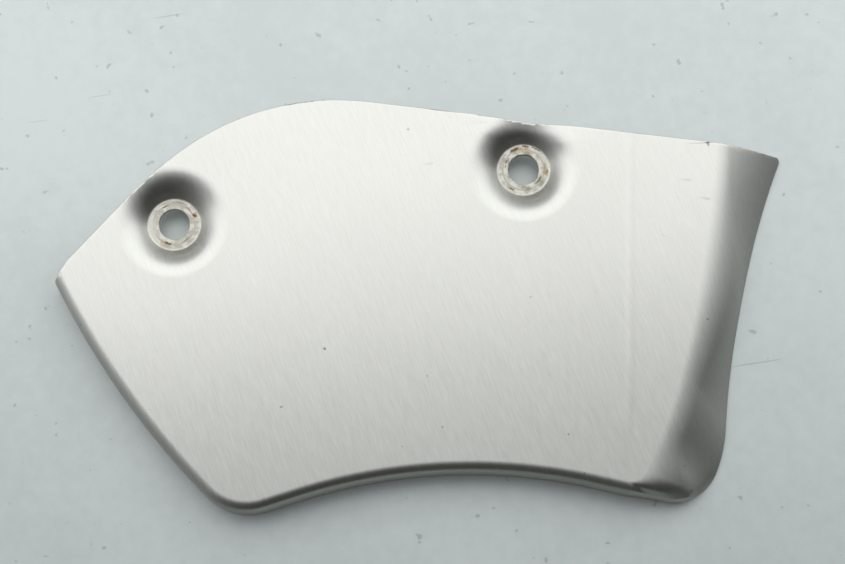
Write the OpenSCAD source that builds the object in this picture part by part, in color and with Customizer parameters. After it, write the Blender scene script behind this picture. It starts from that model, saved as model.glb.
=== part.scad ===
// Exhaust heat shield: one pressed sheet, shaped as a shallow tray.
// The sheet is drawn down along its left and bottom edges into a tight flange,
// and on the right into a broad sloping wing. The top edge is cut raw.
// Two dished bolt seats sit close to the raw edge.
// Origin: midway between the two bolt holes, on the upper face of their seats.
// X runs along the line of the holes, Z is the bolts' axis.

/* [Sheet] */
// Thickness of the sheet
sheet_t = 1; // [0.8:0.1:1.5]
// Drop from the panel's upper face to the rim
tray_depth = 11; // [9:0.5:16]

/* [Bolt seats] */
// Distance between the two bolt holes
bolt_spacing = 98.8; // [90:0.2:106]
// Diameter of each bolt hole
hole_d = 8.6; // [6.4:0.2:10]
// Diameter of the flat seat round each hole
seat_d = 14; // [12.6:0.2:15]
// Depth of the seat below the panel
dish_depth = 4.2; // [3.8:0.1:5]
// Slope of the dish wall
dish_slope = 40; // [36:1:44]
// Radius at the dish lip, on the upper face
dish_lip_r = 8; // [7:0.1:8.6]
// Radius at the foot of the dish wall, on the upper face
dish_foot_r = 2; // [1.6:0.1:2.4]

/* [Rim, along its inner lower edge] */
// Place of the rim's left end, along the line of the holes
rim_start_x = -85.8; // [-90:0.2:-84]
// Place of the rim's left end, across that line
rim_start_y = -3; // [-6:0.5:0]
// Heading of the left edge where it starts
left_heading = -74.2; // [-76:0.1:-71]
// Length of the left edge
left_len = 80.9; // [74:0.1:88]
// Bow of the left edge, as the turn over its length
left_bow = 19.8; // [14:0.1:24]
// Radius of the bottom left corner
corner_left_r = 15.4; // [9:0.2:20]
// Turn of the bottom left corner
corner_left_turn = 63; // [58:0.1:68]
// Length of the straight run after that corner
run_left = 9.4; // [6:0.1:20]
// Radius of the hollow in the bottom edge
hollow_r = 156; // [130:1:200]
// Turn of the hollow in the bottom edge
hollow_turn = 30.6; // [24:0.1:34]
// Length of the straight run before the bottom right corner
run_right = 18.2; // [16:0.1:28]
// Radius of the bottom right corner
corner_right_r = 13; // [9:0.2:16]
// Turn of the bottom right corner
corner_right_turn = 80.2; // [76:0.1:86]
// Length of the easy bend between that corner and the right edge
ease_len = 13.9; // [10:0.1:20]
// Turn of that easy bend
ease_turn = 19; // [12:0.1:22]
// Length of the right edge, up to past the raw top edge
right_len = 98; // [92:0.5:100]
// Hollow of the right edge, as the turn over its length
right_hollow = 23.4; // [19:0.1:27]

/* [Flange and wing] */
// Outer radius of the flange's bend
flange_r = 3.4; // [2.6:0.1:3.6]
// Width in plan from the start of the flange's bend to the rim's inner edge
flange_w = 2.8; // [2.7:0.1:4.5]
// Outer radius of the wing's bend
wing_r = 13; // [9:0.5:16]
// Length of rim before the corner over which the flange opens into the wing
corner_lead = 10.9; // [8:0.1:15]
// Radius of the corner in the line where the bends start
bend_corner_r = 5; // [2:0.5:8]
// Turn of that corner
bend_corner_turn = 78.1; // [72:0.1:82]
// Length of the bow in the wing's bend line above that corner
bend_bow_len = 29.9; // [24:0.1:34]
// Turn of that bow
bend_bow_turn = 9.8; // [6:0.1:14]
// Length of the rest of the wing's bend line
bend_line_len = 65.7; // [62:0.1:70]
// Turn of the rest of the wing's bend line
bend_line_turn = 11.5; // [6:0.1:14]

/* [Raw top edge] */
// Place of the top edge's left end, along the line of the holes
top_start_x = -83.4; // [-85:0.2:-81]
// Place of the top edge's left end, across that line
top_start_y = -9.1; // [-11:0.1:-8]
// Heading of the top edge where it starts
top_heading = 38.5; // [36:0.5:41]
// Length of the first straight stretch
top_run_left = 26.7; // [22:0.1:30]
// Length of the first round stretch
top_rise_len = 18.7; // [14:0.1:24]
// Turn of the first round stretch
top_rise_turn = 8.1; // [5:0.1:12]
// Length of the second round stretch
top_crown_len = 58.7; // [52:0.1:64]
// Turn of the second round stretch
top_crown_turn = 46.4; // [42:0.1:50]
// Length of the last straight stretch, up to the top right corner
top_run_right = 118.5; // [110:0.5:122]
// Radius of the top right corner
corner_top_r = 2; // [1:0.5:5]

/* [Hidden] */
round_fn = 96;
// Steps over a bend's arc, and the longest step along the rim
bend_steps = 8;
rim_step = 3;
corner_step_deg = 6;
// How far each cutting solid runs past what it cuts, and the length of the top cutter's straight ends
past = 5;
cutter_lead = 25;
corner_top_turn = 60;
// From the rim's heading to the direction that points into the tray
inward_turn = 90;
// Flat margin that joins each dish to the panel
dish_margin = 0.6;
panel_z = dish_depth;
rim_z = panel_z - tray_depth;
hole_r = hole_d / 2;
seat_r = seat_d / 2;
// Heights and widths of the dish's three stretches: foot, wall and lip
foot_h = dish_foot_r * (1 - cos(dish_slope));
lip_h = dish_lip_r * (1 - cos(dish_slope));
wall_h = dish_depth - foot_h - lip_h;
wall_w = wall_h / tan(dish_slope);
dish_r = seat_r + (dish_foot_r + dish_lip_r) * sin(dish_slope) + wall_w;

// A path is a chain of stretches [length, turn in degrees, steps], each one a line or an arc
function dir(a) = [cos(a), sin(a)];
function chord(len, turn) = turn == 0 ? len : 2 * (len / (turn * PI / 180)) * sin(turn / 2);
function stretch(p, a, s) =
    [for (i = [1:s[2]])
        let (part = i / s[2], turn = s[1] * part)
        [p + chord(s[0] * part, turn) * dir(a + turn / 2), a + turn]];
function path(p, a, chain, i = 0) =
    i == len(chain) ? [] :
    let (run = stretch(p, a, chain[i]), last = run[len(run) - 1])
    concat(run, path(last[0], last[1], chain, i + 1));
function line_steps(len) = ceil(len / rim_step);
function turn_steps(turn) = ceil(abs(turn) / corner_step_deg);
function arc_len(r, turn) = r * turn * PI / 180;
function smooth(t) = t * t * (3 - 2 * t);

// The rim, from left of the tip round to above the top right corner, and the line inside it
// where the bends start. Both have the same count of points, and point i of one faces that of the other.
edge_chain = [
    [left_len, left_bow, line_steps(left_len)],
    [arc_len(corner_left_r, corner_left_turn), corner_left_turn, turn_steps(corner_left_turn)],
    [run_left, 0, line_steps(run_left)],
    [arc_len(hollow_r, hollow_turn), -hollow_turn, line_steps(arc_len(hollow_r, hollow_turn))],
    [run_right - corner_lead, 0, line_steps(run_right - corner_lead)]];
rim_start = [rim_start_x, rim_start_y];
flange_rim = concat([[rim_start, left_heading]], path(rim_start, left_heading, edge_chain));
turn_point = flange_rim[len(flange_rim) - 1];
lead_steps = line_steps(corner_lead);
corner_steps = turn_steps(corner_right_turn);
ease_steps = line_steps(ease_len);
wing_steps = line_steps(right_len);
wing_rim = path(turn_point[0], turn_point[1], [
    [corner_lead, 0, lead_steps],
    [arc_len(corner_right_r, corner_right_turn), corner_right_turn, corner_steps],
    [ease_len, ease_turn, ease_steps],
    [right_len, -right_hollow, wing_steps]]);
rim = [for (p = concat(flange_rim, wing_rim)) p[0]];

opening_steps = lead_steps + corner_steps + ease_steps;
bend_corner_steps = floor(opening_steps / 2);
flange_bend = [for (p = flange_rim) p[0] + flange_w * dir(p[1] + inward_turn)];
wing_bend = path(flange_bend[len(flange_bend) - 1], turn_point[1], [
    [arc_len(bend_corner_r, bend_corner_turn), bend_corner_turn, bend_corner_steps],
    [bend_bow_len, bend_bow_turn, opening_steps - bend_corner_steps],
    [bend_line_len, bend_line_turn, wing_steps]]);
bend_start = concat(flange_bend, [for (p = wing_bend) p[0]]);

// The bend's outer radius opens from the flange's to the wing's round the corner
function opened(i) = min(1, max(0, (i - len(flange_rim) + 1) / opening_steps));
function bend_r(i) = flange_r + (wing_r - flange_r) * smooth(opened(i));

// One section of the tray: an arc tangent to the panel, then a straight wall down to the rim.
// The wall is the tangent from the rim point to the bend's inner circle.
function wall_slope(w, r) =
    let (down = tray_depth - r, reach = norm([w, down]))
    90 + atan2(down, w) - acos((r - sheet_t) / reach);
function section(i, skin) =
    let (
        w = norm(bend_start[i] - rim[i]),
        in = (bend_start[i] - rim[i]) / w,
        r = bend_r(i),
        slope = wall_slope(w, r),
        r_skin = r - sheet_t + skin)
    concat(
        [for (k = [0:bend_steps])
            let (a = slope * k / bend_steps, q = rim[i] + in * (w - r_skin * sin(a)))
            [q[0], q[1], panel_z - r + r_skin * cos(a)]],
        [let (q = rim[i] - in * skin * sin(slope)) [q[0], q[1], rim_z + skin * cos(slope)]]);

// The blank's panel runs on past the raw top edge, up to this line
blank_y = bolt_spacing / 2;

// Closed skin of sections, outer and inner, with the panel as one flat face of each.
// Points run by skin, then by section, then down the section.
module tray() {
    count = len(rim);
    row = bend_steps + 2;
    outer = [for (i = [0:count - 1]) each section(i, sheet_t)];
    inner = [for (i = [0:count - 1]) each section(i, 0)];
    base = count * row;
    last = (count - 1) * row;
    corners = [[bend_start[count - 1][0], blank_y], [bend_start[0][0], blank_y]];
    far = [for (z = [panel_z, panel_z - sheet_t], c = corners) [c[0], c[1], z]];
    far_right = 2 * base;
    far_left = far_right + 1;
    far_right_in = far_left + 1;
    far_left_in = far_right_in + 1;
    band = [for (i = [0:count - 2], k = [0:row - 2])
        each let (p = i * row + k) [[p, p + row + 1, p + 1], [p, p + row, p + row + 1]]];
    rim_face = [for (i = [0:count - 2])
        let (p = i * row + row - 1) [p, p + row, p + row + base, p + base]];
    left_end = concat([for (k = [0:row - 1]) k], [for (k = [row - 1:-1:0]) k + base]);
    right_end = concat(
        [for (k = [row - 1:-1:0]) last + k], [for (k = [0:row - 1]) last + k + base]);
    panel = [for (i = [0:count - 1]) i * row];
    polyhedron(
        points = concat(outer, inner, far),
        faces = concat(
            band,
            [for (f = band) [f[2] + base, f[1] + base, f[0] + base]],
            rim_face,
            [left_end, right_end],
            [concat([far_left, far_right], [for (i = [count - 1:-1:0]) panel[i]])],
            [concat([for (p = panel) p + base], [far_right_in, far_left_in])],
            [[last, far_right, far_right_in, last + base]],
            [[far_right, far_left, far_left_in, far_right_in]],
            [[far_left, 0, base, far_left_in]]),
        convexity = 6);
}

// Outline of the cutter that leaves the raw top edge and rounds its right end
module top_cutter() {
    start = [top_start_x, top_start_y];
    edge = path(start, top_heading, [
        [top_run_left, 0, 1],
        [top_rise_len, -top_rise_turn, line_steps(top_rise_len)],
        [top_crown_len, -top_crown_turn, line_steps(top_crown_len)],
        [top_run_right, 0, 1],
        [arc_len(corner_top_r, corner_top_turn), -corner_top_turn, turn_steps(corner_top_turn)],
        [cutter_lead, 0, 1]]);
    lead = start - cutter_lead * dir(top_heading);
    low = edge[len(edge) - 1][0];
    right_x = low[0] + cutter_lead;
    top_y = blank_y + past;
    translate([0, 0, rim_z - past])
        linear_extrude(tray_depth + 2 * past)
            polygon(concat(
                [lead],
                [for (p = edge) p[0]],
                [[right_x, low[1]], [right_x, top_y], [lead[0], top_y]]));
}

// Half section of one dish, with the bolt hole left open at its middle
module dish_section() {
    lip_x = dish_r;
    function foot(a, r) = [seat_r + r * sin(a), dish_foot_r - r * cos(a)];
    function lip(a, r) = [lip_x - r * sin(a), panel_z - dish_lip_r + r * cos(a)];
    turns = [for (k = [0:bend_steps]) dish_slope * k / bend_steps];
    back = [for (k = [bend_steps:-1:0]) dish_slope * k / bend_steps];
    edge_x = dish_r + dish_margin;
    polygon(concat(
        [[hole_r, 0]],
        [for (a = turns) foot(a, dish_foot_r)],
        [for (a = back) lip(a, dish_lip_r)],
        [[edge_x, panel_z], [edge_x, panel_z - sheet_t]],
        [for (a = turns) lip(a, dish_lip_r - sheet_t)],
        [for (a = back) foot(a, dish_foot_r + sheet_t)],
        [[hole_r, -sheet_t]]));
}

module at_bolts() {
    for (side = [-1, 1])
        translate([side * bolt_spacing / 2, 0, 0])
            children();
}

module heat_shield() {
    color([0.8, 0.8, 0.77])
        difference() {
            union() {
                difference() {
                    tray();
                    at_bolts()
                        translate([0, 0, panel_z - past])
                            cylinder(h = 2 * past, r = dish_r + dish_margin, $fn = round_fn);
                }
                at_bolts()
                    rotate_extrude($fn = round_fn)
                        dish_section();
            }
            top_cutter();
        }
}

heat_shield();
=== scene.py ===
"""Exhaust heat shield: one pressed sheet of brushed stainless steel on a pale table."""

import math

import bmesh
import bpy
from mathutils import Matrix, Vector


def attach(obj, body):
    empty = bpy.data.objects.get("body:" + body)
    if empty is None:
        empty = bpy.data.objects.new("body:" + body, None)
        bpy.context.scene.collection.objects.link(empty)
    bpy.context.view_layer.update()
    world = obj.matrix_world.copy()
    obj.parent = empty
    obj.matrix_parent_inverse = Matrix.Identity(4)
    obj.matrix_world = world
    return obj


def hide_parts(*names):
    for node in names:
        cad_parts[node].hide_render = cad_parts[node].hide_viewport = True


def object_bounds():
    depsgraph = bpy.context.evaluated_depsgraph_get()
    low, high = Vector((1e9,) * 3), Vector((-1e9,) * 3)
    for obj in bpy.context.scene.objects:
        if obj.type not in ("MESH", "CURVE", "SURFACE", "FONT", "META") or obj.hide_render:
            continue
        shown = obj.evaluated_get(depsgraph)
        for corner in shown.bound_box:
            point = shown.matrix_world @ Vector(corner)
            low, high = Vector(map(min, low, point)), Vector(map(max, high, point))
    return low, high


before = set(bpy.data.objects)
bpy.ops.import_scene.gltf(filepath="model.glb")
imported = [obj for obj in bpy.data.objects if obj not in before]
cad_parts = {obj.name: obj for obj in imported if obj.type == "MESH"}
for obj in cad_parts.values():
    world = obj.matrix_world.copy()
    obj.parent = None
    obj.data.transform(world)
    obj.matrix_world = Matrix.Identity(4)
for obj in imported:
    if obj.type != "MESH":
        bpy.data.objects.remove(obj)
CAD_LOW, CAD_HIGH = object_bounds()

bl_info = {
    "name": "Exhaust Heat Shield",
    "version": (1, 0, 0),
    "blender": (4, 5, 0),
    "location": "View3D > Sidebar > Heat Shield",
    "description": "Builds a pressed, brushed heat shield with its table, lights and camera",
    "category": "Add Mesh",
}

MM = 0.001
NODE = "heat_shield"
UP = Vector((0, 0, 1))

# The picture's width in pixels, and the camera sensor's in millimetres
PICTURE_WIDTH = 845
SENSOR = 36.0

# How finely the sheet is divided: along the rim, down a bend, and round and down a dish
RIM_STEP = 1.2 * MM
BEND_ROWS = 20
DISH_SIDES = 128
DISH_STEPS = 10
SEAT_RINGS = (0.85, 0.5, 0.15, 0.0)

# A bend's rows are spaced so that each takes about this much run or this much turn,
# measured along the bend in fine steps
ROW_RUN = 3 * MM
ROW_TURN = math.radians(7)
FINE_STEP = 0.1 * MM

# A flat strip between the bend's start and the panel's own faces
BEND_MARGIN = 0.3 * MM

# The net that divides the panel: its mesh, and how far it reaches from the middle
PANEL_NET = 3.5 * MM
NET_REACH = 110 * MM

# The faint crease: cuts across its width, how far to its sides they reach, and its fade
CREASE_CUTS = (-1.0, -0.5, 0.0, 0.5, 1.0)
CREASE_REACH = 15 * MM
CREASE_FADE = 20 * MM

# How far the bend has opened where the corner's lip starts to fade, and over how much it
# fades, the share of the width that the bend above it may take, and how its lean is eased
LIP_FROM = 0.35
LIP_OVER = 0.5
LIP_ROOM = 0.9
LIP_EASE = 0.97

# The dip of the raw edge: where it starts on the way from the seat to the edge, over how
# much it grows, and the least share of it that is drawn
DIP_FROM = 0.55
DIP_OVER = 0.45
DIP_LEAST = 0.02

# The raw edge: its last corner's turn, the parts of a round stretch, and their least length
TOP_CORNER = math.radians(60)
TOP_PARTS = 24
TOP_STEP = 0.2 * MM

# Where the raw edge's two ends are cut off: each cut's start and end, in millimetres
TIP_CUTS = (
    ((-83.27, -10.21), (-81.17, -7.76)),
    ((120.44, -5.68), (121.76, -7.28)),
    ((121.76, -7.28), (121.91, -8.74)),
)

# Edges up to these lengths are slivers of the cuts: along the raw edge, and anywhere
RAW_SLIVER = 0.12 * MM
SLIVER = 0.02 * MM

# Round-off: a turn or length that counts as none, a stretch too short to draw, a place
# that counts as on a plane or in a heading, and one that counts as on a hole
ROUND_OFF = 1e-9
SHORT = 1e-7
CLOSE = 1e-6
ON_HOLE = 1e-5

# The brushing's heading, its UV map, and the metres of sheet to one unit of that map
GRAIN_TURN = math.radians(101.9)
BRUSHING = "brushing"
UV_SIDE = 0.25


def length(name, about, default, low=0.0, high=1.0):
    """A length property, in metres."""
    return bpy.props.FloatProperty(
        name=name,
        description=about,
        default=default,
        min=low,
        max=high,
        subtype="DISTANCE",
        unit="LENGTH",
    )


def angle(name, about, degrees):
    """An angle property, in radians, given here in degrees."""
    return bpy.props.FloatProperty(
        name=name,
        description=about,
        default=math.radians(degrees),
        subtype="ANGLE",
        unit="ROTATION",
    )


def number(name, about, default, low=0.0, high=100.0):
    """A plain number property."""
    return bpy.props.FloatProperty(
        name=name, description=about, default=default, min=low, max=high
    )


def colour(name, about, rgb):
    """A colour property."""
    return bpy.props.FloatVectorProperty(
        name=name, description=about, default=rgb, size=3, min=0.0, max=1.0, subtype="COLOR"
    )


class SheetSizes(bpy.types.PropertyGroup):
    """Sizes of the pressed sheet."""

    thickness: length("Thickness", "Thickness of the sheet", 1.0 * MM)
    depth: length("Depth", "Drop from the panel to the rim", 11.0 * MM)
    dish_depth: length("Dish depth", "Drop from the panel to a bolt seat", 4.2 * MM)
    rim_x: length("Rim start X", "Left end of the rim along the holes' line", -85.8 * MM, -1.0)
    rim_y: length("Rim start Y", "Left end of the rim across that line", -3.0 * MM, -1.0)
    left_heading: angle("Left heading", "Heading of the left edge where it starts", -74.2)
    left_len: length("Left edge", "Length of the left edge", 80.9 * MM)
    left_bow: angle("Left bow", "Turn over the left edge", 19.8)
    left_corner_r: length("Left corner radius", "Radius of the bottom left corner", 15.4 * MM)
    left_corner: angle("Left corner turn", "Turn of the bottom left corner", 63.0)
    run_left: length("Left run", "Straight run after the bottom left corner", 9.4 * MM)
    hollow_r: length("Hollow radius", "Radius of the hollow in the bottom edge", 156.0 * MM)
    hollow: angle("Hollow turn", "Turn of the hollow in the bottom edge", 30.6)
    run_right: length("Right run", "Straight run before the bottom right corner", 18.2 * MM)
    right_corner_r: length("Right corner radius", "Radius of the bottom right corner", 13.0 * MM)
    right_corner: angle("Right corner turn", "Turn of the bottom right corner", 80.2)
    ease_len: length("Ease length", "Easy bend between that corner and the right edge", 13.9 * MM)
    ease: angle("Ease turn", "Turn of the easy bend", 19.0)
    right_len: length("Right edge", "Length of the right edge", 98.0 * MM)
    right_hollow: angle("Right hollow", "Turn over the right edge", 23.4)
    flange_r: length("Flange radius", "Outer radius of the flange's bend", 3.0 * MM)
    flange_w: length("Flange width", "Plan width of the flange", 2.1 * MM)
    wing_r: length("Wing radius", "Outer radius of the wing's bend", 13.0 * MM)
    lead: length("Corner lead", "Rim length over which the flange opens into the wing", 10.9 * MM)
    bend_corner_r: length("Bend corner radius", "Radius of the corner in the bend line", 5.0 * MM)
    bend_corner: angle("Bend corner turn", "Turn of the corner in the bend line", 78.1)
    crease_x: length("Crease X", "Foot of the faint crease", 64.7 * MM, -1.0)
    crease_low: length("Crease Y", "Lower end of the crease", -82.6 * MM, -1.0)
    crease_lean: length("Crease lean", "Shift of its top towards the wing", 14.8 * MM, -1.0)
    crease_w: length("Crease width", "Half the crease's width", 1.6 * MM)
    crease_h: length("Crease height", "Height of the crease over the panel", 0.09 * MM)
    corner_lean: angle("Corner lean", "Lean of the corner's face above its tight flange", 37.0)
    corner_r: length("Corner bend", "Radius of the gentle bend above that flange", 22.0 * MM)
    bow_len: length("Bow length", "Length of the bow above that corner", 29.9 * MM)
    bow: angle("Bow turn", "Turn of that bow", 9.8)
    line_len: length("Bend line length", "Length of the rest of the bend line", 65.7 * MM)
    line: angle("Bend line turn", "Turn of the rest of the bend line", 11.5)
    top_x: length("Top start X", "Left end of the raw edge on the holes' line", -83.4 * MM, -1.0)
    top_y: length("Top start Y", "Left end of the raw edge across that line", -9.1 * MM, -1.0)
    top_heading: angle("Top heading", "Heading of the raw edge where it starts", 38.5)
    top_left: length("Top left run", "First straight stretch of the raw edge", 26.7 * MM)
    rise_len: length("Rise length", "First round stretch of the raw edge", 18.7 * MM)
    rise: angle("Rise turn", "Turn of the first round stretch", 8.1)
    crown_len: length("Crown length", "Second round stretch of the raw edge", 58.7 * MM)
    crown: angle("Crown turn", "Turn of the second round stretch", 46.4)
    top_right: length("Top right run", "Last straight stretch of the raw edge", 118.5 * MM)
    top_corner_r: length("Top corner radius", "Radius of the top right corner", 2.0 * MM)
    edge_round: length("Edge rounding", "Rounding of the cut edges", 0.18 * MM)


class SeatSizes(bpy.types.PropertyGroup):
    """Sizes of the two dished bolt seats."""

    spacing: length("Spacing", "Distance between the bolt holes", 98.8 * MM)
    hole_r: length("Hole radius", "Radius of each bolt hole", 4.3 * MM)
    seat_r: length("Seat radius", "Radius of the flat seat", 7.0 * MM)
    slope: angle("Dish slope", "Slope of the dish wall", 45.0)
    lip_r: length("Lip radius", "Radius at the dish lip", 9.6 * MM)
    foot_r: length("Foot radius", "Radius at the foot of the dish wall", 0.9 * MM)
    margin: length("Margin", "Flat ring between the lip and the panel's faces", 0.3 * MM)
    ring_r: length("Ring radius", "Radius of the mark that the bolt's flange left", 5.8 * MM)
    dip: length("Edge dip", "How far the raw edge is drawn down at the right seat", 1.1 * MM)
    pull: length("Edge pull", "How far the raw edge is drawn in there", 0.4 * MM)
    dip_reach: length("Dip reach", "How far the dip reaches along the edge", 8.0 * MM)


class FinishColours(bpy.types.PropertyGroup):
    """Colours and strengths of the finishes."""

    steel: colour("Steel", "Brushed stainless steel", (0.57, 0.565, 0.53))
    steel_dark: colour("Steel in the grain", "Darker lines of the brushing", (0.49, 0.487, 0.457))
    # Seat is also the colour of the painted highlights on the seats' left sides and round their
    # edges
    seat: colour("Seat", "Clean parts of the bolt seats", (0.64, 0.62, 0.55))
    seat_dark: colour("Worn seat", "Dull marks on the bolt seats", (0.29, 0.27, 0.215))
    rust: colour("Rust", "Brown rust at the seats", (0.17, 0.09, 0.042))
    ochre: colour("Ochre", "Yellow bloom round the rust", (0.45, 0.31, 0.14))
    grime: colour("Grime", "Dark line left by the bolts", (0.16, 0.16, 0.14))
    table: colour("Table", "The table's pale paint", (0.57, 0.61, 0.595))
    table_mark: colour("Table marks", "Faint marks on the table", (0.52, 0.56, 0.545))


class StageSizes(bpy.types.PropertyGroup):
    """Camera, lights and table."""

    distance: length("Camera distance", "From the camera to its target", 0.6, 0.1, 5.0)
    elevation: angle("Camera elevation", "Height of the camera above the table's plane", 80.0)
    roll: angle("Camera roll", "Turn of the line of the holes in the picture", 9.113)
    focal_px: number("Focal length", "In pixels of the picture", 2160.0, 100.0, 9000.0)
    target_x: length("Target X", "Where the camera looks, along the holes' line", 16.4 * MM, -1.0)
    target_y: length("Target Y", "Where the camera looks, across that line", -27.05 * MM, -1.0)
    table_size: length("Table size", "Side of the table", 3.0, 0.1, 10.0)
    lamp_width: length("Lamp width", "Side of the lamp across the picture", 1.2, 0.05, 5.0)
    lamp_depth: length("Lamp depth", "Side of the lamp away from the camera", 0.5, 0.05, 5.0)
    lamp_height: length("Lamp height", "Height of the lamp over the bolt seats", 0.4, 0.1, 5.0)
    lamp_edge: length("Lamp edge", "Near side of the lamp, beyond the target", 0.045, -5.0, 5.0)
    lamp_light: number("Lamp light", "Brightness of the lamp's face", 0.86)
    sky_high: number("Ceiling light", "Light from above and beyond", 0.44, 0.0, 10.0)
    sky_low: number("Low light", "Light from the camera's side", 0.07, 0.0, 10.0)
    sky_mid: number("Middle light", "Light added overhead, nearer the camera", 0.62, 0.0, 10.0)
    sky_rim: number("Room's rim", "Share of both lights left at the horizon", 0.35, 0.0, 1.0)
    sky_seen: number("Backdrop", "Least light of the room as the camera sees it", 0.8, 0.0, 10.0)
    wall_right: number("Right wall", "Light from the right wall", 0.25, 0.0, 10.0)
    wall_left: number("Left wall", "Light from the left wall", 0.2, 0.0, 10.0)
    edge_turn: angle("Ceiling turn", "Turn of the bright ceiling's near edge", 6.0)
    edge_tilt: angle("Ceiling tilt", "Where that edge stands, from straight up", 5.0)


PROPERTY_GROUPS = (SheetSizes, SeatSizes, FinishColours, StageSizes)


def heading(a):
    """Unit vector of a heading in plan."""
    return Vector((math.cos(a), math.sin(a)))


def stretch(start, a, run_len, turn, step):
    """Points and headings along one line or arc, after its start."""
    count = max(1, math.ceil(run_len / step))
    made = []
    for i in range(1, count + 1):
        part = i / count
        half = turn * part / 2
        chord = run_len * part * (math.sin(half) / half if abs(half) > ROUND_OFF else 1.0)
        made.append((start + chord * heading(a + half), a + turn * part))
    return made


def path(start, a, chain, step):
    """Points and headings along a chain of (length, turn) stretches, the start left out."""
    made = []
    for run_len, turn in chain:
        run = stretch(start, a, run_len, turn, step)
        made += run
        start, a = run[-1]
    return made


def even_points(start, a, chain, count):
    """count points along a chain, evenly spaced, the start left out."""
    total = sum(run_len for run_len, _ in chain)
    made = []
    for i in range(1, count + 1):
        left = total * i / count
        p, h = start, a
        for run_len, turn in chain:
            part = min(1.0, left / run_len)
            p, h = stretch(p, h, run_len * part, turn * part, run_len)[-1]
            left -= run_len * part
            if left <= ROUND_OFF:
                break
        made.append(p)
    return made


def smooth_step(t):
    """0 to 1 with level ends."""
    t = min(1.0, max(0.0, t))
    return t * t * (3 - 2 * t)


def rim_and_bend(s, step):
    """The rim, the bend line's points that face it, and how far each is opened to the wing."""
    start = Vector((s.rim_x, s.rim_y))
    edge = [(start, s.left_heading)] + path(
        start,
        s.left_heading,
        [
            (s.left_len, s.left_bow),
            (s.left_corner_r * s.left_corner, s.left_corner),
            (s.run_left, 0.0),
            (s.hollow_r * s.hollow, -s.hollow),
            (s.run_right - s.lead, 0.0),
        ],
        step,
    )
    turn_at, turn_heading = edge[-1]
    opening = [
        (s.lead, 0.0),
        (s.right_corner_r * s.right_corner, s.right_corner),
        (s.ease_len, s.ease),
    ]
    opening_len = sum(run_len for run_len, _ in opening)
    opening_count = math.ceil(opening_len / step)
    wing_count = math.ceil(s.right_len / step)
    rim = [p for p, _ in edge] + even_points(turn_at, turn_heading, opening, opening_count)
    opening_end = path(turn_at, turn_heading, opening, opening_len)[-1]
    rim += even_points(*opening_end, [(s.right_len, -s.right_hollow)], wing_count)
    bend = [p + s.flange_w * heading(h + math.pi / 2) for p, h in edge]
    corner = [(s.bend_corner_r * s.bend_corner, s.bend_corner), (s.bow_len, s.bow)]
    corner_count = opening_count // 2
    corner_end = path(bend[-1], turn_heading, corner[:1], step)[-1]
    bend += even_points(bend[-1], turn_heading, corner[:1], corner_count)
    bend += even_points(*corner_end, corner[1:], opening_count - corner_count)
    bow_end = path(*corner_end, corner[1:], step)[-1]
    bend += even_points(*bow_end, [(s.line_len, s.line)], wing_count)
    opened = [smooth_step((i - len(edge) + 1) / opening_count) for i in range(len(rim))]
    return rim, bend, opened


def bend_chain(s, width, r):
    """One bend and the straight wall below it, down to a rim that stands width away."""
    down = s.depth - r
    inner_r = r - s.thickness
    slope = math.pi / 2 + math.atan2(down, width) - math.acos(inner_r / math.hypot(width, down))
    wall = math.hypot(width - inner_r * math.sin(slope), down + inner_r * math.cos(slope))
    return slope, [(r * slope, -slope), (wall, 0.0)]


def lipped_chain(s, width, opened_slope):
    """A gentle bend, a straight, and then the flange's tight bend and wall.

    The lean of the straight is eased until at least half a thickness of wall is left.
    """
    steep, _ = bend_chain(s, s.flange_w, s.flange_r)
    tight = s.flange_r
    room = max(LIP_ROOM * (width - s.flange_w), CLOSE)
    lean = min(s.corner_lean, math.asin(min(1.0, room / tight)))
    wall = 0.0
    while wall < s.thickness / 2:
        r = min(s.corner_r, room / math.sin(lean))
        out = width + s.thickness * math.sin(opened_slope) - r * math.sin(lean)
        out -= tight * (math.sin(steep) - math.sin(lean))
        drop = s.depth - s.thickness * math.cos(steep) - r * (1 - math.cos(lean))
        drop -= tight * (math.cos(lean) - math.cos(steep))
        cross = math.sin(steep - lean)
        straight = max(0.0, (out * math.sin(steep) - drop * math.cos(steep)) / cross)
        wall = (drop * math.cos(lean) - out * math.sin(lean)) / cross
        if wall < s.thickness / 2:
            lean *= LIP_EASE
    return [
        (r * lean, -lean),
        (straight, 0.0),
        (tight * (steep - lean), lean - steep),
        (wall, 0.0),
    ]


def profile(chain, count):
    """count points along a chain, closer together where it bends."""
    start = Vector((0, 0))
    drawn = [(run_len, turn) for run_len, turn in chain if run_len > SHORT]
    fine = [(start, 0.0)] + path(start, 0.0, drawn, FINE_STEP)
    reached = [0.0]
    for (p, a), (q, b) in zip(fine, fine[1:]):
        reached.append(reached[-1] + (q - p).length / ROW_RUN + abs(b - a) / ROW_TURN)
    made, k = [], 1
    for i in range(1, count + 1):
        goal = reached[-1] * i / count
        while k < len(reached) - 1 and reached[k] < goal:
            k += 1
        part = (goal - reached[k - 1]) / (reached[k] - reached[k - 1])
        made.append(fine[k - 1][0].lerp(fine[k][0], part))
    return made


def section(s, foot, start, opened, count):
    """Points down one section of the outer face, below the bend's start."""
    across = start - foot
    width = across.length
    outward = -across / width
    r = s.flange_r + (s.wing_r - s.flange_r) * opened
    slope, chain = bend_chain(s, width, r)
    open_bend = profile(chain, count)
    lip_lost = smooth_step((opened - LIP_FROM) / LIP_OVER)
    if lip_lost < 1:
        lipped = profile(lipped_chain(s, width, slope), count)
        open_bend = [a.lerp(b, lip_lost) for a, b in zip(lipped, open_bend)]
    points = []
    for u, drop in open_bend:
        flat = start + outward * u
        points.append(Vector((flat.x, flat.y, s.dish_depth + drop)))
    return points


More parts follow.
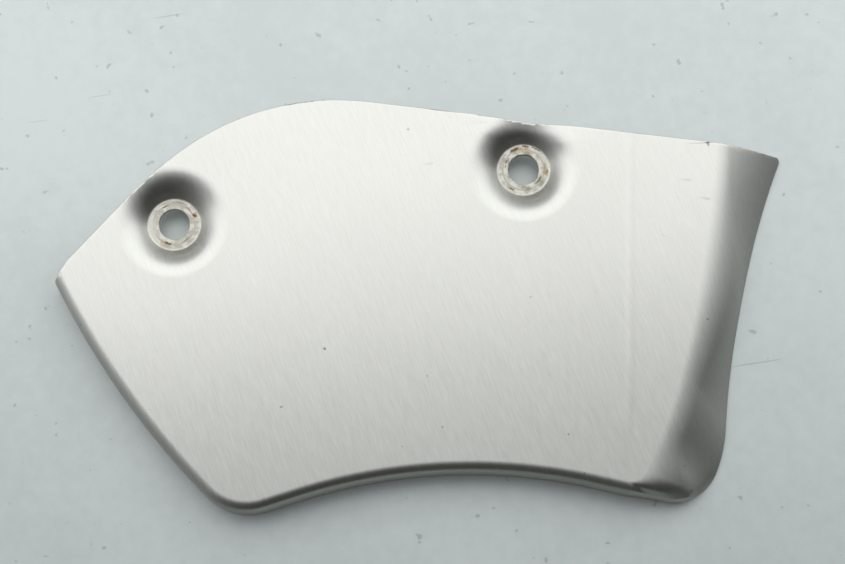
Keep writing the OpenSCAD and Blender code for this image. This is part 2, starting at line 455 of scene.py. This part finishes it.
def dish_rings(s, c):
    """Radius and height of each ring down one dish, from its outer edge to the hole."""
    foot_h = c.foot_r * (1 - math.cos(c.slope))
    lip_h = c.lip_r * (1 - math.cos(c.slope))
    wall_w = (s.dish_depth - foot_h - lip_h) / math.tan(c.slope)
    dish_r = c.seat_r + (c.foot_r + c.lip_r) * math.sin(c.slope) + wall_w
    made = [(dish_r, s.dish_depth)]
    for k in range(1, DISH_STEPS + 1):
        a = c.slope * k / DISH_STEPS
        made.append((dish_r - c.lip_r * math.sin(a), s.dish_depth - c.lip_r * (1 - math.cos(a))))
    for k in range(DISH_STEPS, -1, -1):
        a = c.slope * k / DISH_STEPS
        made.append((c.seat_r + c.foot_r * math.sin(a), c.foot_r * (1 - math.cos(a))))
    for part in SEAT_RINGS:
        made.append((c.hole_r + (c.seat_r - c.hole_r) * part, 0.0))
    return made


def extrude_row(bm, edges, places):
    """Extrudes a chain of edges once; places maps each old vertex to its copy's place."""
    made = bmesh.ops.extrude_edge_only(bm, edges=edges)["geom"]
    new_edges = [g for g in made if isinstance(g, bmesh.types.BMEdge)]
    old = {v for e in edges for v in e.verts}
    fresh = [v for e in new_edges for v in e.verts]
    for v in set(fresh):
        mate = next(e.other_vert(v) for e in v.link_edges if e.other_vert(v) in old)
        v.co = places[mate]
    return new_edges


def draw_chain(bm, points, closed=False):
    """A chain of edges through points, drawn by extruding its last vertex."""
    first = bm.verts.new(points[0])
    chain, edges, last = [first], [], first
    for p in points[1:]:
        made = bmesh.ops.extrude_vert_indiv(bm, verts=[last])
        last = made["verts"][0]
        last.co = p
        chain.append(last)
        edges += made["edges"]
    if closed:
        edges += bmesh.ops.contextual_create(bm, geom=[last, first])["edges"]
    return chain, edges


def fill_panel(bm, s, c, rim, bend, dish_r):
    """The flat panel, filled between its border, a lid past the raw edge and two rings."""
    border = []
    for f, b in zip(rim, bend):
        q = b + (b - f).normalized() * BEND_MARGIN
        border.append(Vector((q.x, q.y, s.dish_depth)))
    chain, edges = draw_chain(bm, border)
    lid_y = c.spacing / 2
    corners = [Vector((border[end].x, lid_y, s.dish_depth)) for end in (-1, 0)]
    lid, lid_edges = draw_chain(bm, corners)
    lid_edges += bmesh.ops.contextual_create(bm, geom=[chain[-1], lid[0]])["edges"]
    lid_edges += bmesh.ops.contextual_create(bm, geom=[lid[1], chain[0]])["edges"]
    rings = []
    for side in (-1, 1):
        middle = Vector((side * c.spacing / 2, 0, s.dish_depth))
        radius = dish_r + c.margin
        ring = bmesh.ops.create_circle(bm, segments=DISH_SIDES, radius=radius)["verts"]
        bmesh.ops.translate(bm, verts=ring, vec=middle)
        rings.append((middle, list(dict.fromkeys(e for v in ring for e in v.link_edges))))
    outline = edges + lid_edges + [e for _, ring in rings for e in ring]
    bmesh.ops.triangle_fill(bm, use_beauty=True, edges=outline, normal=UP)
    return chain, edges, rings


def sink_dish(bm, middle, ring, dish):
    """Draws one dish down from its ring in the panel to its hole."""
    for r, z in dish:
        places = {}
        for v in {v for e in ring for v in e.verts}:
            out = Vector((v.co.x - middle.x, v.co.y - middle.y)).normalized() * r
            places[v] = Vector((middle.x + out.x, middle.y + out.y, z))
        ring = extrude_row(bm, ring, places)


def turn_down_rim(bm, chain, row, lines):
    """Draws the flange and the wing down from the panel's border, row by row."""
    index = {v: i for i, v in enumerate(chain)}
    for k in range(BEND_ROWS + 1):
        row = extrude_row(bm, row, {v: lines[i][k] for v, i in index.items()})
        moved = {}
        for v in {v for e in row for v in e.verts}:
            mate = next(e.other_vert(v) for e in v.link_edges if e.other_vert(v) in index)
            moved[v] = index[mate]
        index = moved


def shield_mesh(s, c):
    """The outer face of the pressed sheet as one surface, trimmed at the raw edge."""
    bm = bmesh.new()
    rim, bend, opened = rim_and_bend(s, RIM_STEP)
    lines = []
    for f, b, o in zip(rim, bend, opened):
        lines.append([Vector((*b, s.dish_depth)), *section(s, f, b, o, BEND_ROWS)])
    dish = dish_rings(s, c)
    chain, edges, rings = fill_panel(bm, s, c, rim, bend, dish[0][0])
    for middle, ring in rings:
        sink_dish(bm, middle, ring, dish)
    turn_down_rim(bm, chain, edges, lines)
    trim_top(bm, s)
    cut_panel(bm, s)
    crease_panel(bm, s)
    merge_slivers(bm, c)
    bmesh.ops.dissolve_degenerate(bm, edges=bm.edges, dist=SLIVER)
    bmesh.ops.recalc_face_normals(bm, faces=bm.faces)
    if sum(f.normal.z * f.calc_area() for f in bm.faces) < 0:
        bmesh.ops.reverse_faces(bm, faces=bm.faces)
    return bm


def top_edge(s):
    """Points and headings along the raw edge, its start included."""
    start = Vector((s.top_x, s.top_y))
    chain = [
        (s.top_left, 0.0),
        (s.rise_len, -s.rise),
        (s.crown_len, -s.crown),
        (s.top_right, 0.0),
        (s.top_corner_r * TOP_CORNER, -TOP_CORNER),
    ]
    made = [(start, s.top_heading)]
    for run_len, turn in chain:
        step = run_len if abs(turn) < ROUND_OFF else max(run_len / TOP_PARTS, TOP_STEP)
        made += path(*made[-1], [(run_len, turn)], step)
    return made


def trim_top(bm, s):
    """Cuts the sheet along the raw edge, one plane for each short straight of it."""
    edge = top_edge(s)
    cuts = [(a, b - a) for (a, _), (b, _) in zip(edge, edge[1:])]
    last, last_heading = edge[-1]
    cuts.append((last, heading(last_heading)))
    cuts += [(Vector(a) * MM, Vector(b) - Vector(a)) for a, b in TIP_CUTS]
    for place, run in cuts:
        geom = bm.verts[:] + bm.edges[:] + bm.faces[:]
        bmesh.ops.bisect_plane(
            bm,
            geom=geom,
            dist=SHORT,
            plane_co=(place.x, place.y, 0),
            plane_no=(-run.y, run.x, 0),
            clear_outer=True,
        )


def on_panel(v, s):
    """Whether a vertex lies in the flat panel's plane."""
    return abs(v.co.z - s.dish_depth) < CLOSE


def panel_faces(bm, s):
    """The faces that lie in the flat panel's plane."""
    return [f for f in bm.faces if all(on_panel(v, s) for v in f.verts)]


def slice_faces(bm, faces, place, out):
    """Cuts some faces along the upright plane that stands at place, across out."""
    sides = {e for f in faces for e in f.edges}
    ends = {v for f in faces for v in f.verts}
    bmesh.ops.bisect_plane(
        bm,
        geom=[*faces, *sides, *ends],
        dist=CLOSE,
        plane_co=(place.x, place.y, 0),
        plane_no=(out.x, out.y, 0),
    )


def cut_panel(bm, s):
    """Cuts the panel's large faces into a net, so that it can be shaded and shaped gently."""
    middle = Vector((0, (CAD_LOW.y + CAD_HIGH.y) / 2))
    count = int(NET_REACH / PANEL_NET)
    for turn in (0.0, math.pi / 2):
        out = heading(turn)
        for k in range(-count, count + 1):
            place = middle + out * (k * PANEL_NET)
            large = [f for f in panel_faces(bm, s) if f.calc_area() > PANEL_NET * PANEL_NET / 4]
            crossed = []
            for f in large:
                offs = [(v.co.xy - place).dot(out) for v in f.verts]
                if min(offs) < 0 < max(offs):
                    crossed.append(f)
            if crossed:
                slice_faces(bm, crossed, place, out)


def crease_panel(bm, s):
    """Raises the faint crease that crosses the panel beside the wing."""
    low = Vector((s.crease_x, s.crease_low))
    high = Vector((s.crease_x + s.crease_lean, 0))
    along = (high - low).normalized()
    out = Vector((along.y, -along.x))
    for share in CREASE_CUTS:
        place = low + out * (s.crease_w * share)
        near = []
        for f in panel_faces(bm, s):
            if abs((f.calc_center_median().xy - place).dot(out)) < CREASE_REACH:
                near.append(f)
        slice_faces(bm, near, place, out)
    for v in bm.verts:
        side = abs((v.co.xy - low).dot(out)) / s.crease_w
        fade = smooth_step((v.co.y - low.y) / CREASE_FADE)
        if side < 1 and on_panel(v, s):
            v.co.z += s.crease_h * fade * (1 - smooth_step(side))


def merge_slivers(bm, c):
    """Merges the very close vertices that the cuts left along the raw edge."""
    raw = set()
    for v in {v for e in bm.edges if e.is_boundary for v in e.verts}:
        from_hole = math.hypot(abs(v.co.x) - c.spacing / 2, v.co.y) - c.hole_r
        if abs(from_hole) > ON_HOLE:
            raw.add(v)
    short = {e for v in raw for e in v.link_edges if e.calc_length() < RAW_SLIVER}
    close = raw | {v for e in short for v in e.verts}
    in_order = sorted(close, key=lambda v: tuple(v.co))
    bmesh.ops.remove_doubles(bm, verts=in_order, dist=RAW_SLIVER)


def dip_raw_edge(bm, s, c):
    """Draws the raw edge in and down beside the right seat, where the dish ran out of sheet."""
    heading_right = s.top_heading - s.rise - s.crown
    along = heading(heading_right)
    out = heading(heading_right + math.pi / 2)
    edge = top_edge(s)
    seat = Vector((c.spacing / 2, 0))
    on_line = next(p for p, h in reversed(edge) if abs(h - heading_right) < CLOSE)
    reach = (on_line - seat).dot(out)
    for v in bm.verts:
        flat = v.co.xy - seat
        side = flat.dot(along) / c.dip_reach
        rise = flat.dot(out) / reach
        weight = math.exp(-side * side) * smooth_step((rise - DIP_FROM) / DIP_OVER)
        if weight > DIP_LEAST:
            v.co.x -= out.x * c.pull * weight
            v.co.y -= out.y * c.pull * weight
            v.co.z -= c.dip * weight


class Nodes:
    """Short calls that add nodes to one empty node tree."""

    def __init__(self, tree):
        self.tree = tree
        tree.nodes.clear()

    def add(self, kind, inputs=None, **settings):
        """A node with its settings, and inputs that are values or other nodes' outputs."""
        node = self.tree.nodes.new(kind)
        for key, value in settings.items():
            setattr(node, key, value)
        for key, value in (inputs or {}).items():
            if isinstance(value, bpy.types.NodeSocket):
                self.tree.links.new(value, node.inputs[key])
            else:
                node.inputs[key].default_value = value
        return node

    def math(self, operation, a, b=0.0, clamp=False):
        node = self.add("ShaderNodeMath", {0: a, 1: b}, operation=operation, use_clamp=clamp)
        return node.outputs[0]

    def plus(self, a, b):
        return self.math("ADD", a, b)

    def minus(self, a, b):
        return self.math("SUBTRACT", a, b)

    def times(self, a, b):
        return self.math("MULTIPLY", a, b)

    def most(self, a, b):
        return self.math("MAXIMUM", a, b)

    def vector_math(self, operation, a, b=(0, 0, 0)):
        return self.add("ShaderNodeVectorMath", {0: a, 1: b}, operation=operation)

    def remap(self, value, low, high, to_low=0.0, to_high=1.0, kind="SMOOTHSTEP"):
        inputs = {"Value": value, 1: low, 2: high, 3: to_low, 4: to_high}
        return self.add("ShaderNodeMapRange", inputs, interpolation_type=kind).outputs[0]

    def fade(self, value, low, high):
        """1 up to low, and 0 past high."""
        return self.remap(value, low, high, 1.0, 0.0)

    def line(self, value, middle, half):
        """1 where value is middle, fading to 0 at half to each side of it."""
        return self.fade(self.math("ABSOLUTE", self.minus(value, middle)), 0.0, half)

    def noise(self, vector, scale, detail, roughness):
        inputs = {"Vector": vector, "Scale": scale, "Detail": detail, "Roughness": roughness}
        return self.add("ShaderNodeTexNoise", inputs).outputs[0]

    def mapping(self, vector, scale, turn=0.0):
        inputs = {"Vector": vector, "Scale": scale, "Rotation": (0, 0, turn)}
        return self.add("ShaderNodeMapping", inputs).outputs[0]

    def stretched_noise(self, vector, cells, detail, roughness, turn=0.0):
        """A noise with its own number of cells to the metre along each axis."""
        return self.noise(self.mapping(vector, cells, turn), 1.0, detail, roughness)

    def mix(self, factor, a, b):
        inputs = {0: factor, 6: a, 7: b}
        return self.add("ShaderNodeMix", inputs, data_type="RGBA").outputs[2]

    def bump(self, strength, distance, height, under=None):
        """A bump of the surface, laid over another one where under gives it."""
        inputs = {"Strength": strength, "Distance": distance, "Height": height}
        if under:
            inputs["Normal"] = under
        return self.add("ShaderNodeBump", inputs).outputs[0]

    def output(self, kind, shader):
        """Links a shader to the tree's output node."""
        self.tree.links.new(shader.outputs[0], self.add(kind).inputs[0])


def new_material(name):
    """A material that is made of nodes."""
    material = bpy.data.materials.new(name)
    material.use_nodes = True
    return material


def rgba(rgb):
    """A colour with full alpha."""
    return (*rgb, 1.0)


def lay_brushing(bm):
    """A UV map seen from above whose U runs across the brushing, the way its glints stretch."""
    layer = bm.loops.layers.uv.new(BRUSHING)
    across, along = heading(GRAIN_TURN - math.pi / 2), heading(GRAIN_TURN)
    for face in bm.faces:
        for loop in face.loops:
            flat = loop.vert.co.xy
            loop[layer].uv = (flat.dot(across) / UV_SIDE, flat.dot(along) / UV_SIDE)


# Noises of the steel and the table: cells to the metre, detail and roughness. The grain's
# cells are given along the brushing, across it and through the sheet.
FINE_GRAIN = ((230.0, 5200.0, 900.0), 3.0, 0.65)
HAIR_GRAIN = ((210.0, 2700.0, 400.0), 2.0, 0.55)
WIDE_GRAIN = ((45.0, 300.0, 60.0), 2.0, 0.5)
CLOUDS = (22.0, 2.0, 0.5)
SPECKS = (420.0, 1.0, 0.4)
WEAR = (420.0, 3.0, 0.6)
MOTTLE = (420.0, 4.0, 0.65)
RAGGED = (1300.0, 4.0, 0.7)
TABLE_SOFT = (9.0, 4.0, 0.6)
TABLE_FINE = (260.0, 3.0, 0.6)
TABLE_SPECKS = (380.0, 1.0, 0.4)
TABLE_SCRATCH = ((30.0, 900.0, 30.0), 1.0, 0.4)

# The table's scratches: the turn of each set, and the noise above which it shows
SCRATCHES = ((0.5, 0.79), (2.0, 0.8))
SCRATCH_FADE = 0.03

# A seat's edge as shares of its radius, and half the widths of the mark that the bolt's
# flange left and of the painted highlight, a bright line round the seat
SEAT_EDGE = (0.98, 1.1)
RING_HALF = 0.28 * MM
RIM_HALF = 0.35 * MM

# The painted highlight on a seat's left side: where it fades along X from the hole, how far
# round the left hole it holds, and its share on the right seat
HIGHLIGHT_FADE = (-6.5 * MM, -2.5 * MM)
HIGHLIGHT_REACH = (10 * MM, 11 * MM)
HIGHLIGHT_RIGHT = 0.45

# The stains: their force, the middle and the force of the noise that makes them ragged,
# the range in which one starts to show at all, and the range of its ragged edge
STAIN_FORCE = 2.2
RAGGED_MIDDLE = 0.53
RAGGED_FORCE = 4.2
STAIN_START = (0.02, 0.25)
STAIN_EDGE = (0.2, 1.1)

# Rust round each seat: its direction from the hole and half its width in degrees, its
# radius and half its breadth in millimetres, its strength, and 0 for brown or 1 for ochre
LEFT_STAINS = (
    (16, 9, 6.2, 0.8, 1.0, 0),
    (16, 15, 6.2, 1.1, 0.6, 1),
    (40, 13, 6.0, 0.4, 0.5, 0),
    (243, 17, 5.6, 0.5, 1.0, 0),
    (236, 26, 5.8, 0.9, 0.55, 1),
    (107, 17, 5.7, 0.3, 0.8, 0),
    (300, 27, 5.5, 0.24, 0.7, 0),
    (70, 27, 6.4, 0.22, 0.55, 0),
)
RIGHT_STAINS = (
    (104, 22, 6.3, 0.7, 1.0, 0),
    (76, 14, 6.8, 0.45, 0.9, 0),
    (50, 24, 7.0, 0.3, 0.8, 0),
    (80, 44, 5.7, 1.1, 0.6, 1),
    (146, 11, 5.3, 0.45, 0.8, 0),
    (160, 7, 5.1, 0.35, 0.7, 0),
    (346, 14, 6.1, 1.2, 1.0, 1),
    (346, 7, 6.7, 0.5, 0.55, 0),
    (315, 26, 5.2, 0.35, 0.9, 0),
    (230, 9, 6.4, 0.4, 0.9, 0),
)


def stain_masks(n, coords, seat_x, stains):
    """Masks of brown and ochre rust round one hole, the distance from it, and a painted highlight
    on its left.
    """
    centred = n.vector_math("SUBTRACT", coords, (seat_x, 0, 0)).outputs[0]
    split = n.add("ShaderNodeSeparateXYZ", {0: centred})
    flat = n.add("ShaderNodeCombineXYZ", {0: split.outputs[0], 1: split.outputs[1]}).outputs[0]
    radius = n.vector_math("LENGTH", flat).outputs["Value"]
    turn = n.math("ARCTAN2", split.outputs[1], split.outputs[0])
    ragged = n.times(n.minus(n.noise(centred, *RAGGED), RAGGED_MIDDLE), RAGGED_FORCE)
    masks = [0.0, 0.0]
    for direction, half, r, half_r, strength, kind in stains:
        off = n.math("WRAP", n.minus(turn, math.radians(direction)), math.pi)
        off.node.inputs[2].default_value = -math.pi
        near = n.fade(n.math("ABSOLUTE", off), 0.0, math.radians(half))
        spot = n.times(n.times(near, n.line(radius, r * MM, half_r * MM)), STAIN_FORCE)
        shown = n.remap(spot, *STAIN_START)
        spot = n.remap(n.plus(spot, ragged), *STAIN_EDGE)
        masks[kind] = n.most(masks[kind], n.times(n.times(spot, shown), strength))
    return *masks, radius, n.fade(split.outputs[0], *HIGHLIGHT_FADE)


def seat_masks(n, coords, seats):
    """Masks of both seats, their bright metal and painted highlights, their brown and ochre rust,
    and the radius.
    """
    middle = seats.spacing / 2
    brown, ochre, left_radius, left_highlight = stain_masks(n, coords, -middle, LEFT_STAINS)
    right = stain_masks(n, coords, middle, RIGHT_STAINS)
    brown, ochre = n.most(brown, right[0]), n.most(ochre, right[1])
    radius = n.math("MINIMUM", left_radius, right[2])
    on_seat = n.fade(radius, *(seats.seat_r * share for share in SEAT_EDGE))
    # Painted highlight: the seats' left sides are painted brighter, where their rounded metal
    # faces the light
    left_highlight = n.times(left_highlight, n.fade(left_radius, *HIGHLIGHT_REACH))
    seat_highlight = n.most(left_highlight, n.times(right[3], HIGHLIGHT_RIGHT))
    bright = n.most(n.remap(n.noise(coords, *MOTTLE), 0.34, 0.6), n.times(seat_highlight, 0.95))
    # Painted highlight: a bright line round each seat's edge, drawn in the seat colour
    bright = n.most(bright, n.times(n.line(radius, seats.seat_r, RIM_HALF), 0.8))
    return on_seat, bright, brown, ochre, radius


def steel_material(colours, seats):
    """Brushed stainless steel with worn, rust-stained bolt seats."""
    material = new_material("brushed stainless")
    n = Nodes(material.node_tree)
    coords = n.add("ShaderNodeTexCoord").outputs["Object"]
    along = n.mapping(coords, (1.0, 1.0, 1.0), -GRAIN_TURN)
    fine = n.stretched_noise(along, *FINE_GRAIN)
    hair = n.stretched_noise(along, *HAIR_GRAIN)
    grain = n.plus(n.times(fine, 0.5), n.times(hair, 0.5))
    worn = n.noise(coords, *WEAR)
    on_seat, bright, brown, ochre, radius = seat_masks(n, coords, seats)

    grain_mask = n.remap(grain, 0.36, 0.66, kind="LINEAR")
    grain_mask = n.times(grain_mask, n.remap(on_seat, 0.0, 1.0, 1.0, 0.3))
    base = n.mix(grain_mask, rgba(colours.steel_dark), rgba(colours.steel))
    # The seats: dull and bright metal at random, with painted highlights laid in the seat colour
    base = n.mix(on_seat, base, n.mix(bright, rgba(colours.seat_dark), rgba(colours.seat)))
    ring = n.times(n.line(radius, seats.ring_r, RING_HALF), n.remap(worn, 0.42, 0.62))
    specks = n.remap(n.noise(coords, *SPECKS), 0.79, 0.84)
    base = n.mix(n.times(n.most(ring, specks), 0.75), base, rgba(colours.grime))
    base = n.mix(n.times(ochre, 0.7), base, rgba(colours.ochre))
    base = n.mix(n.times(brown, 0.9), base, rgba(colours.rust))

    dull = n.most(n.most(brown, n.times(ochre, 0.6)), n.times(on_seat, 0.5))
    rough = n.remap(grain, 0.3, 0.7, 0.32, 0.41, kind="LINEAR")
    rough = n.plus(rough, n.times(n.minus(n.noise(coords, *CLOUDS), 0.5), 0.05))
    rough = n.math("ADD", rough, n.times(dull, 0.35), clamp=True)
    metal = n.remap(dull, 0.0, 1.0, 1.0, 0.15, kind="LINEAR")

    brushed = n.plus(n.times(fine, 0.35), n.times(hair, 0.65))
    relief = n.bump(0.35, 0.02 * MM, brushed)
    relief = n.bump(0.4, 0.1 * MM, n.stretched_noise(along, *WIDE_GRAIN), relief)
    relief = n.bump(0.6, 0.12 * MM, n.times(dull, worn), relief)
    tangent = n.add("ShaderNodeTangent", direction_type="UV_MAP", uv_map=BRUSHING)
    shader = n.add(
        "ShaderNodeBsdfPrincipled",
        {
            "Base Color": base,
            "Metallic": metal,
            "Roughness": rough,
            "Anisotropic": 0.8,
            "Normal": relief,
            "Tangent": tangent.outputs[0],
        },
    )
    n.output("ShaderNodeOutputMaterial", shader)
    return material


def table_material(colours):
    """Pale painted table with faint scuffs."""
    material = new_material("pale table")
    n = Nodes(material.node_tree)
    coords = n.add("ShaderNodeTexCoord").outputs["Object"]
    fine = n.noise(coords, *TABLE_FINE)
    blend = n.plus(n.times(n.noise(coords, *TABLE_SOFT), 0.7), n.times(fine, 0.3))
    base = n.mix(n.remap(blend, 0.38, 0.62), rgba(colours.table_mark), rgba(colours.table))
    specks = n.remap(n.noise(coords, *TABLE_SPECKS), 0.74, 0.8)
    base = n.mix(n.times(specks, 0.38), base, rgba(colours.grime))
    for turn, low in SCRATCHES:
        scratch = n.stretched_noise(coords, *TABLE_SCRATCH, turn)
        scratch = n.remap(scratch, low, low + SCRATCH_FADE)
        base = n.mix(n.times(scratch, 0.25), base, rgba(colours.grime))
    relief = n.bump(0.15, 0.1 * MM, fine)
    shader = n.add(
        "ShaderNodeBsdfPrincipled",
        {"Base Color": base, "Metallic": 0.4, "Roughness": 0.45, "Normal": relief},
    )
    n.output("ShaderNodeOutputMaterial", shader)
    return material


# The room: its tint, and the ranges of the cosine of the angle to an aim over which the
# ceiling, the light overhead, the horizon's share and the walls grow
ROOM_TINT = (0.95, 0.98, 1.0)
CEILING_FADE = (-0.03, 0.1)
MIDDLE_FADE = (-0.6, 0.1)
RIM_FADE = (0.0, 0.75)
WALL_FADE = (0.6, 1.0)

# Where each wall stands: its parts to the right, away from the camera and up
RIGHT_WALL = (1.0, 0.8, 0.3)
LEFT_WALL = (-1.0, -0.38, 0.3)


def room_light(g, right, level, beyond):
    """A room with a bright ceiling beyond the object, soft side walls and a dim near side."""
    world = bpy.data.worlds.new("room")
    world.use_nodes = True
    n = Nodes(world.node_tree)
    direction = n.add("ShaderNodeTexCoord").outputs["Object"]

    def toward(aim, low, high):
        reached = n.vector_math("DOT_PRODUCT", direction, aim.normalized()).outputs["Value"]
        return n.remap(reached, low, high)

    over_edge = beyond * math.cos(g.edge_tilt) - UP * math.sin(g.edge_tilt)
    ceiling = n.times(toward(over_edge, *CEILING_FADE), g.sky_high)
    lit = n.plus(ceiling, n.times(toward(over_edge, *MIDDLE_FADE), g.sky_mid))
    high = n.remap(toward(UP, *RIM_FADE), 0.0, 1.0, g.sky_rim, 1.0, kind="LINEAR")
    strength = n.plus(n.times(lit, high), g.sky_low)
    for (across, away, up), light in ((RIGHT_WALL, g.wall_right), (LEFT_WALL, g.wall_left)):
        wall = toward(right * across + level * away + UP * up, *WALL_FADE)
        strength = n.plus(strength, n.times(wall, light))
    seen = n.add("ShaderNodeLightPath").outputs["Is Camera Ray"]
    strength = n.most(strength, n.times(seen, g.sky_seen))
    room = n.add("ShaderNodeBackground", {"Color": rgba(ROOM_TINT), "Strength": strength})
    n.output("ShaderNodeOutputWorld", room)
    return world


def turn_from(x, y, z):
    """Euler turn of an object whose own axes point along x, y and z."""
    return Matrix((x, y, z)).transposed().to_euler()


def put_camera(context, g, right, level, target):
    """The camera, looking down at the target from the near side."""
    back = (UP * math.sin(g.elevation) - level * math.cos(g.elevation)).normalized()
    camera = bpy.data.objects.new("camera", bpy.data.cameras.new("camera"))
    context.collection.objects.link(camera)
    camera.data.sensor_width = SENSOR
    camera.data.lens = g.focal_px / PICTURE_WIDTH * SENSOR
    camera.location = target + back * g.distance
    camera.rotation_euler = turn_from(right, back.cross(right), back)
    context.scene.camera = camera


def put_lamp(context, g, level, beyond, target):
    """The broad soft lamp, low beyond the target and facing down."""
    lamp = bpy.data.objects.new("soft lamp", bpy.data.lights.new("soft lamp", "AREA"))
    context.collection.objects.link(lamp)
    lamp.data.shape = "RECTANGLE"
    lamp.data.size = g.lamp_width
    lamp.data.size_y = g.lamp_depth
    lamp.data.energy = g.lamp_light * math.pi * g.lamp_width * g.lamp_depth
    lamp.visible_camera = False
    middle = target + level * (g.lamp_edge + g.lamp_depth / 2)
    lamp.location = middle + UP * g.lamp_height
    lamp.rotation_euler = turn_from(beyond.cross(UP), beyond, UP)


def put_object(name, bm, material):
    """Turns a bmesh into an object at the origin."""
    mesh = bpy.data.meshes.new(name)
    bm.to_mesh(mesh)
    bm.free()
    mesh.materials.append(material)
    made = bpy.data.objects.new(name, mesh)
    bpy.context.collection.objects.link(made)
    return made


class HEATSHIELD_OT_sheet(bpy.types.Operator):
    """Press the sheet: panel, flange, wing and bolt seats, with its brushed finish"""

    bl_idname = "heatshield.sheet"
    bl_label = "Pressed Sheet"

    def execute(self, context):
        s, c = context.scene.shield_sheet, context.scene.shield_seats
        bm = shield_mesh(s, c)
        dip_raw_edge(bm, s, c)
        lay_brushing(bm)
        for f in bm.faces:
            f.smooth = not all(on_panel(v, s) for v in f.verts)
        piece = put_object("shield_sheet", bm, steel_material(context.scene.shield_colours, c))
        solid = piece.modifiers.new("thickness", "SOLIDIFY")
        solid.thickness = s.thickness
        solid.offset = -1.0
        solid.use_even_offset = True
        solid.use_quality_normals = True
        solid.thickness_clamp = 0.0
        bevel = piece.modifiers.new("edge rounding", "BEVEL")
        bevel.width = s.edge_round
        bevel.segments = 2
        bevel.limit_method = "ANGLE"
        bevel.angle_limit = math.radians(50)
        bevel.use_clamp_overlap = False
        weighted = piece.modifiers.new("flat faces first", "WEIGHTED_NORMAL")
        weighted.weight = 80
        weighted.keep_sharp = False
        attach(piece, "root")
        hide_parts(NODE)
        return {"FINISHED"}


class HEATSHIELD_OT_stage(bpy.types.Operator):
    """Set the pale table, the soft lamp, the room's light and the camera"""

    bl_idname = "heatshield.stage"
    bl_label = "Stage"

    def execute(self, context):
        g = context.scene.shield_stage
        table = bmesh.new()
        bmesh.ops.create_grid(table, x_segments=1, y_segments=1, size=g.table_size / 2)
        bmesh.ops.translate(table, verts=table.verts, vec=(0, 0, CAD_LOW.z))
        floor = put_object("table", table, table_material(context.scene.shield_colours))

        right = Vector((math.cos(g.roll), -math.sin(g.roll), 0))
        level = Vector((math.sin(g.roll), math.cos(g.roll), 0))
        beyond = level * math.cos(g.edge_turn) - right * math.sin(g.edge_turn)
        target = Vector((g.target_x, g.target_y, 0))
        put_camera(context, g, right, level, target)
        put_lamp(context, g, level, beyond, target)
        context.scene.world = room_light(g, right, level, beyond)
        context.scene.view_settings.view_transform = "Standard"
        return {"FINISHED"}


class HEATSHIELD_PT_panel(bpy.types.Panel):
    """Lists the shield's pieces and stage"""

    bl_idname = "HEATSHIELD_PT_panel"
    bl_label = "Heat Shield"
    bl_space_type = "VIEW_3D"
    bl_region_type = "UI"
    bl_category = "Heat Shield"

    def draw(self, context):
        for operator in OPERATORS:
            self.layout.operator(operator.bl_idname)


OPERATORS = (HEATSHIELD_OT_stage, HEATSHIELD_OT_sheet)
SCENE_GROUPS = {
    "shield_sheet": SheetSizes,
    "shield_seats": SeatSizes,
    "shield_colours": FinishColours,
    "shield_stage": StageSizes,
}


def register():
    for cls in (*PROPERTY_GROUPS, *OPERATORS, HEATSHIELD_PT_panel):
        bpy.utils.register_class(cls)
    for name, group in SCENE_GROUPS.items():
        setattr(bpy.types.Scene, name, bpy.props.PointerProperty(type=group))


def unregister():
    for name in SCENE_GROUPS:
        delattr(bpy.types.Scene, name)
    for cls in (HEATSHIELD_PT_panel, *reversed(OPERATORS), *reversed(PROPERTY_GROUPS)):
        bpy.utils.unregister_class(cls)


def main():
    register()
    bpy.ops.heatshield.stage()
    bpy.ops.heatshield.sheet()


if __name__ == "__main__":
    main()
